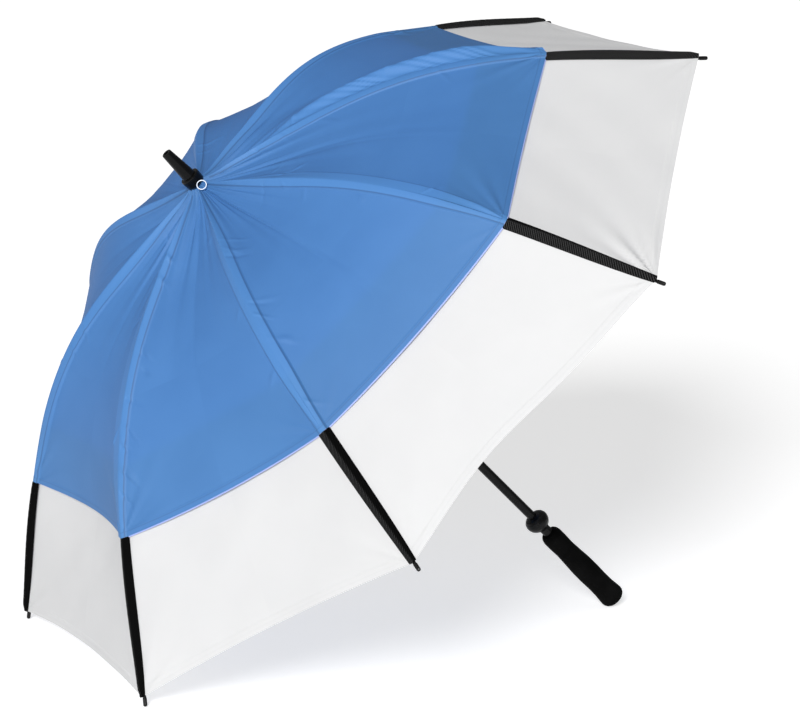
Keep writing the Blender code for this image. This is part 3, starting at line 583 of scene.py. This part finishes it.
def cloth_material(name, base, shade, through_tone, light_through, seam_dark):
    """Thin plain-woven polyester: fine weave, faint slubs, sewn lines by the ribs and the hem; the
    line by each rib is also painted shade on one edge of its strip, and the strip is painted
    lighter as a painted highlight.
    """
    paint, tree, shader = fresh(name)
    place = attribute(tree, "cloth").outputs["Vector"]
    seam = absolute(tree, attribute(tree, "seam").outputs["Fac"])
    border = attribute(tree, "border").outputs["Fac"]
    broad = node(tree, "TexNoise", {"Vector": place, "Scale": 9.0, "Detail": 3.0}).outputs[0]
    fine = node(tree, "TexNoise", {"Vector": place, "Scale": 1400.0, "Detail": 1.0}).outputs[0]
    thread = {"Vector": place, "Scale": 420.0, "Distortion": 0.6, "Detail": 1.0}
    warp = node(tree, "TexWave", thread)
    weft = node(tree, "TexWave", thread, bands_direction="Y")
    line = ramp(tree, seam, 0.0003, 0.0010, 1.0, 0.0)
    raised = attribute(tree, "strip").outputs["Fac"]
    strip = ramp(tree, raised, -0.0010, 0.0006, 1.0, 0.0)
    from_stitch = absolute(tree, math_node(tree, "SUBTRACT", border, STITCH_FROM_HEM))
    sewn = ramp(tree, from_stitch, 0.0002, 0.0008, 1.0, 0.0)
    marks = math_node(tree, "MAXIMUM", line, times(tree, sewn, 0.55))
    toned = mixed(tree, ramp(tree, broad, 0.3, 0.7), colour(*shade), colour(*base))
    slubs = times(tree, ramp(tree, fine, 0.25, 0.75), 0.10)
    toned = mixed(tree, slubs, toned, colour(*shade))
    # painted highlight: the strip over each rib is painted lighter, as if it caught more light
    toned = mixed(tree, times(tree, strip, 0.8), toned, scaled(base, 1.16))
    # the seam lines by the ribs are painted dark, partly stitching and partly painted shade on the
    # strip's edge; the hem's stitch line is painted dark too
    toned = mixed(tree, times(tree, marks, seam_dark), toned, scaled(base, 0.35))
    feed(tree, shader, "Base Color", toned)
    weave = math_node(tree, "ADD", warp.outputs["Fac"], weft.outputs["Fac"])
    height = math_node(tree, "SUBTRACT", times(tree, weave, 0.5), times(tree, marks, 2.5))
    bumped(tree, shader, height, 0.35, 0.00012)
    feed(tree, shader, "Roughness", ramp(tree, fine, 0.2, 0.8, 0.60, 0.72))
    shader.inputs["Specular IOR Level"].default_value = 0.56
    mottle = ramp(tree, broad, 0.3, 0.7)
    glow = mixed(tree, mottle, scaled(through_tone, 0.94), colour(*through_tone))
    through = node(tree, "BsdfTranslucent", {"Color": glow})
    share = {0: light_through, 1: shader.outputs[0], 2: through.outputs[0]}
    blended = node(tree, "MixShader", share)
    tree.links.new(blended.outputs[0], tree.nodes["Material Output"].inputs["Surface"])
    return paint


def plain_cloth(name, base, shade):
    paint, tree, shader = fresh(name)
    place = attribute(tree, "cloth").outputs["Vector"]
    thread = {"Vector": place, "Scale": 300.0, "Distortion": 1.0}
    rib = node(tree, "TexWave", thread).outputs["Fac"]
    feed(tree, shader, "Base Color", mixed(tree, rib, colour(*base), colour(*shade)))
    bumped(tree, shader, rib, 0.3, 0.0001)
    shader.inputs["Roughness"].default_value = 0.6
    return paint


def tape_material(name, base, light):
    """Ribbed polyester tape: slanted cords with lighter crowns painted as sheen; one half of the
    tape is painted in shade.
    """
    paint, tree, shader = fresh(name)
    place = attribute(tree, "cloth").outputs["Vector"]
    slanted = {"Vector": place, "Scale": 180.0, "Distortion": 0.8, "Detail": 1.0}
    slanted["Detail Scale"] = 40.0
    cords = node(tree, "TexWave", slanted, bands_direction="DIAGONAL").outputs["Fac"]
    woven = {"Vector": place, "Scale": 170.0, "Distortion": 0.5}
    cross = node(tree, "TexWave", woven, bands_direction="Y").outputs["Fac"]
    threads = node(tree, "TexNoise", {"Vector": place, "Scale": 700.0, "Detail": 2.0}).outputs[0]
    # painted sheen: the cords' crowns are painted lighter
    lit = times(tree, ramp(tree, cords, 0.35, 0.9), ramp(tree, cross, 0.1, 0.9, 0.5, 1.0))
    lit = times(tree, lit, ramp(tree, threads, 0.3, 0.7, 0.6, 1.0))
    across = node(tree, "SeparateXYZ", {0: place}).outputs[0]
    # painted shade: the tape's half past the ridge keeps little of the painted sheen
    lit = times(tree, lit, ramp(tree, across, 0.0008, 0.0026, 1.0, 0.06))
    feed(tree, shader, "Base Color", mixed(tree, lit, colour(*base), colour(*light)))
    height = math_node(tree, "ADD", cords, times(tree, threads, 0.4))
    bumped(tree, shader, height, 0.8, 0.0004)
    shader.inputs["Roughness"].default_value = 0.8
    shader.inputs["Specular IOR Level"].default_value = 0.03
    return paint


def moulded(name, base, worn, roughness, grain, bump, gloss):
    """Moulded plastic: fine grain, uneven gloss, and edges rubbed a little lighter."""
    paint, tree, shader = fresh(name)
    place = node(tree, "TexCoord").outputs["Object"]
    skin = node(tree, "TexNoise", {"Vector": place, "Scale": grain, "Detail": 3.0}).outputs[0]
    smear = node(tree, "TexNoise", {"Vector": place, "Scale": 45.0, "Detail": 3.0}).outputs[0]
    edge = ramp(tree, node(tree, "NewGeometry").outputs["Pointiness"], 0.53, 0.62)
    rubbed = times(tree, edge, ramp(tree, smear, 0.35, 0.65, 0.2, 0.9))
    feed(tree, shader, "Base Color", mixed(tree, rubbed, colour(*base), colour(*worn)))
    feed(tree, shader, "Roughness", ramp(tree, smear, 0.3, 0.7, *roughness))
    bumped(tree, shader, skin, 0.5, bump)
    shader.inputs["Specular IOR Level"].default_value = gloss
    return paint


def drawn(name, base, other, roughness, metallic):
    """Pultruded or drawn stock: fine mottling and an uneven gloss."""
    paint, tree, shader = fresh(name)
    place = node(tree, "TexCoord").outputs["Object"]
    mottle = node(tree, "TexNoise", {"Vector": place, "Scale": 260.0, "Detail": 4.0}).outputs[0]
    spots = node(tree, "TexNoise", {"Vector": place, "Scale": 60.0, "Detail": 2.0}).outputs[0]
    toned = mixed(tree, ramp(tree, mottle, 0.3, 0.7), colour(*base), colour(*other))
    feed(tree, shader, "Base Color", toned)
    feed(tree, shader, "Roughness", ramp(tree, spots, 0.3, 0.7, *roughness))
    shader.inputs["Metallic"].default_value = metallic
    shader.inputs["Specular IOR Level"].default_value = 0.5 if metallic else 0.15
    bumped(tree, shader, mottle, 0.3, 0.00008)
    return paint


def foam_rubber(name):
    """Soft foam grip: open cells under a worn skin."""
    paint, tree, shader = fresh(name)
    place = node(tree, "TexCoord").outputs["Object"]
    cells = node(tree, "TexVoronoi", {"Vector": place, "Scale": 900.0}).outputs["Distance"]
    skin = node(tree, "TexNoise", {"Vector": place, "Scale": 320.0, "Detail": 4.0}).outputs[0]
    wear = node(tree, "TexNoise", {"Vector": place, "Scale": 28.0, "Detail": 3.0}).outputs[0]
    toned = mixed(tree, ramp(tree, wear, 0.45, 0.75), colour(*grey(0.0015)), colour(*grey(0.004)))
    feed(tree, shader, "Base Color", toned)
    bumped(tree, shader, math_node(tree, "ADD", cells, skin), 0.6, 0.0003)
    feed(tree, shader, "Roughness", ramp(tree, wear, 0.3, 0.7, 0.70, 0.85))
    shader.inputs["Specular IOR Level"].default_value = 0.03
    return paint


def milky_plastic(name):
    """Cloudy, slightly translucent plastic."""
    paint, tree, shader = fresh(name)
    place = node(tree, "TexCoord").outputs["Object"]
    cloud = node(tree, "TexNoise", {"Vector": place, "Scale": 240.0, "Detail": 2.0}).outputs[0]
    toned = mixed(tree, cloud, colour(0.62, 0.70, 0.80), colour(0.88, 0.91, 0.95))
    feed(tree, shader, "Base Color", toned)
    feed(tree, shader, "Roughness", ramp(tree, cloud, 0.3, 0.7, 0.22, 0.38))
    shader.inputs["Subsurface Weight"].default_value = 0.2
    shader.inputs["Subsurface Radius"].default_value = (0.001, 0.001, 0.001)
    return paint


# tones as linear red, green and blue
BLUE = cloth_material(
    "blue_pongee",
    base=(0.053, 0.176, 0.405),
    shade=(0.046, 0.160, 0.378),
    through_tone=(0.02, 0.09, 0.55),
    light_through=0.16,
    seam_dark=0.50,
)
WHITE = cloth_material(
    "white_pongee",
    base=grey(0.665),
    shade=(0.645, 0.645, 0.647),
    through_tone=grey(0.665),
    light_through=0.38,
    seam_dark=0.08,
)
LILAC = plain_cloth("lilac_binding", (0.24, 0.31, 0.62), (0.33, 0.39, 0.68))
TAPE = tape_material("black_tape", grey(0.001), (0.052, 0.052, 0.053))
GLOSS_BLACK = moulded(
    "black_plastic", grey(0.002), grey(0.014), (0.20, 0.32), grain=900.0, bump=0.00006, gloss=0.16
)
NYLON = moulded(
    "black_nylon", grey(0.007), grey(0.022), (0.38, 0.52), grain=700.0, bump=0.00012, gloss=0.18
)
GRIP = foam_rubber("black_grip")
SHAFT = drawn("black_fibreglass", grey(0.002), grey(0.005), (0.20, 0.32), metallic=0.0)
RIB = drawn(
    "rib_fibreglass", (0.030, 0.030, 0.032), (0.060, 0.060, 0.064), (0.34, 0.50), metallic=0.0
)
STEEL = drawn("steel", (0.50, 0.50, 0.51), (0.62, 0.62, 0.63), (0.25, 0.42), metallic=1.0)
RING = milky_plastic("white_plastic")

FINISH = {
    "black_plastic": GLOSS_BLACK,
    "black_nylon": NYLON,
    "black_grip": GRIP,
    "black_fibreglass": SHAFT,
    "rib_fibreglass": RIB,
    "steel": STEEL,
    "white_plastic": RING,
}
for part in frame["record"]["subparts"]:
    finish = FINISH.get(part["material_slot"])
    if finish:
        shown = frame["nodes"][part["node"]]
        shown.data.materials.clear()
        shown.data.materials.append(finish)

# ---------------------------------------------------------------- the canopies
CROWN_ROWS, CROWN_FINE = 8, 14
UPPER_FINE, LOWER_FINE = 24, 32
UPPER_HEM_ZONE = 0.486  # from here to the hem the rows are closer together
LOWER_HEM_ZONE = 0.644
UPPER_BINDING = 0.0014  # width of the lining that shows below the upper canopy's edge


def rows_to_hem(start, zone, hem, coarse, close):
    return np.concatenate([np.linspace(start, zone, coarse), np.linspace(zone, hem, close)[1:]])


crown("upper_crown", np.linspace(APEX_EDGE, CROWN_EDGE, CROWN_ROWS), CROWN_FINE, BLUE)
inner_radii = np.linspace(CROWN_EDGE, RIB_JOINT_RADIUS, 130)
outer_radii = rows_to_hem(RIB_JOINT_RADIUS, UPPER_HEM_ZONE, VENT_RADIUS, 62, 8)
lower_radii = rows_to_hem(LOWER_START, LOWER_HEM_ZONE, HEM_RADIUS, 52, 9)
for k in range(RIBS):
    rib = k + 1
    inner = gore(f"upper_gore_inner_{rib}", k, "upper", inner_radii, UPPER_FINE, [BLUE], None)
    attach(inner, f"rib_inner_{rib}", "canopy_upper")
    outer = gore(
        f"upper_gore_outer_{rib}",
        k,
        "upper",
        outer_radii,
        UPPER_FINE,
        [BLUE, LILAC],
        VENT_RADIUS,
        UPPER_BINDING,
    )
    attach(outer, f"rib_outer_{rib}", "canopy_upper")
    lower = gore(f"lower_gore_{rib}", k, "lower", lower_radii, LOWER_FINE, [WHITE], HEM_RADIUS)
    attach(lower, f"rib_outer_{rib}", "canopy_lower")

# ---------------------------------------------------------------- rib pockets
POCKET_START = VENT_RADIUS - 0.0035
POCKET_END = TIP_RADIUS - 0.0098
POCKET_WIDE = 0.0205
POCKET_NARROW = 0.0120
POCKET_ROOF = 0.0042
POCKET_BULGE = 0.0022
POCKET_TOP = 0.0010  # the tape's top lies this far below the rib's own line at its edges
POCKET_BACK = 0.0032
POCKET_ROWS, POCKET_COLUMNS = 40, 17
POCKET_SHARP = math.radians(50)


def pocket(k):
    """A tape folded lengthwise over the rib's end, sewn to the lower canopy's ridge."""
    rows, columns = POCKET_ROWS, POCKET_COLUMNS
    along = np.linspace(0, 1, rows)[:, None]
    across = np.linspace(-1, 1, columns)[None, :]
    radius = POCKET_START + (POCKET_END - POCKET_START) * along + 0 * across
    half = 0.5 * (POCKET_WIDE + (POCKET_NARROW - POCKET_WIDE) * along**2.6)
    side = half * across
    ends = smooth_step(along / 0.03) * smooth_step((1 - along) / 0.06)
    crest = POCKET_ROOF * (0.35 + 0.65 * ends) + POCKET_BULGE * np.sin(math.pi * along)
    roof = crest * (1 - np.abs(across) ** 1.25)
    lean = slope(radius)
    azimuth = rib_angle(k)
    cos, sin = math.cos(azimuth), math.sin(azimuth)
    turn = np.array([[cos, -sin, 0], [sin, cos, 0], [0, 0, 1]])
    shells = []
    for top in (True, False):
        depth = (POCKET_TOP - roof) if top else np.full_like(radius, POCKET_BACK)
        ripple = 0.0001 * np.sin(140 * along + 4 * across) if top else 0.0
        back = np.abs(side) * HALF_CHORD
        depth = depth + ripple
        flat = radius - back - depth * np.sin(lean)
        height = -drop(radius) - depth * np.cos(lean)
        sideways = side * math.cos(RIB_STEP / 2) + 0 * flat
        shells.append(np.stack([flat, sideways, height], -1) @ turn.T)
    count = rows * columns
    points = np.concatenate([s.reshape(-1, 3) for s in shells])
    top_faces = grid_faces(rows, columns)
    index = np.arange(count).reshape(rows, columns)
    loop = np.concatenate([index[0, :], index[1:, -1], index[-1, -2::-1], index[-2:0:-1, 0]])
    after = np.roll(loop, -1)
    rim = np.stack([loop, after, after + count, loop + count], -1)
    faces = np.concatenate([top_faces, top_faces[:, ::-1] + count, rim])
    obj = new_object(f"rib_pocket_tape_{k + 1}", points, faces, [TAPE])
    run = (radius - POCKET_START) / np.cos(lean)
    cloth = np.stack([side + 0 * run, run, 0 * run + 0.2 * k], -1).reshape(-1, 3)
    put_attribute(obj.data, "cloth", "FLOAT_VECTOR", np.concatenate([cloth, cloth]))
    obj.data.set_sharp_from_angle(angle=POCKET_SHARP)
    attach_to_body(obj, f"rib_outer_{k + 1}")
    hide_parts(f"rib_pocket_{k + 1}")


for k in range(RIBS):
    pocket(k)

# ---------------------------------------------------------------- camera, floor and light
CAMERA_PLACE = (-2.1851, -4.9959, 1.4813)
CAMERA_RIGHT = Vector((0.9128, -0.4082, 0.0123))
CAMERA_LOOK = Vector((0.4028, 0.8948, -0.1928))
CAMERA_LENS = 169.64
FLOOR_HALF = 40
FLOOR_BELOW = 0.0005

eye = bpy.data.cameras.new("camera")
eye.lens = CAMERA_LENS
eye.sensor_width = 36.0
camera = bpy.data.objects.new("camera", eye)
bpy.context.scene.collection.objects.link(camera)
back = -CAMERA_LOOK.normalized()
right = (CAMERA_RIGHT - back * CAMERA_RIGHT.dot(back)).normalized()
upward = back.cross(right)
turned = Matrix((right, upward, back)).transposed().to_4x4()
camera.matrix_world = Matrix.Translation(CAMERA_PLACE) @ turned
bpy.context.scene.camera = camera
bpy.context.scene.view_settings.view_transform = "Standard"

floor_mesh = bpy.data.meshes.new("studio_floor")
corner_signs = ((-1, -1), (1, -1), (1, 1), (-1, 1))
floor_corners = [(x * FLOOR_HALF, y * FLOOR_HALF, 0) for x, y in corner_signs]
floor_mesh.from_pydata(floor_corners, [], [(0, 1, 2, 3)])
floor = bpy.data.objects.new("studio_floor", floor_mesh)
floor.location.z = -FLOOR_BELOW
bpy.context.scene.collection.objects.link(floor)
floor_paint, floor_tree, floor_shader = fresh("floor_paper")
grain = node(floor_tree, "TexNoise", {"Scale": 3.0, "Detail": 2.0}).outputs[0]
feed(floor_tree, floor_shader, "Roughness", ramp(floor_tree, grain, 0.0, 1.0, 0.88, 0.92))
floor_shader.inputs["Base Color"].default_value = colour(0.62, 0.62, 0.62)
floor_shader.inputs["Specular IOR Level"].default_value = 0.05
floor_shader.inputs["Emission Color"].default_value = colour(1.0, 1.0, 1.0)
floor_shader.inputs["Emission Strength"].default_value = 0.58
floor_mesh.materials.append(floor_paint)

WORLD_STRENGTH = 0.25
sky = bpy.data.worlds.new("studio")
sky.use_nodes = True
sky.node_tree.nodes["Background"].inputs["Color"].default_value = colour(1.0, 1.0, 1.0)
sky.node_tree.nodes["Background"].inputs["Strength"].default_value = WORLD_STRENGTH
bpy.context.scene.world = sky

# one broad, distant light from the front left, a little above the umbrella
LIGHT_FROM = Vector((-0.52, -0.75, 0.41))
LIGHT_STRENGTH = 4.1
LIGHT_WIDTH = math.radians(14)
lamp = bpy.data.lights.new("key_light", "SUN")
lamp.energy = LIGHT_STRENGTH
lamp.angle = LIGHT_WIDTH
key_light = bpy.data.objects.new("key_light", lamp)
key_light.rotation_euler = (-LIGHT_FROM).to_track_quat("-Z", "Y").to_euler()
bpy.context.scene.collection.objects.link(key_light)
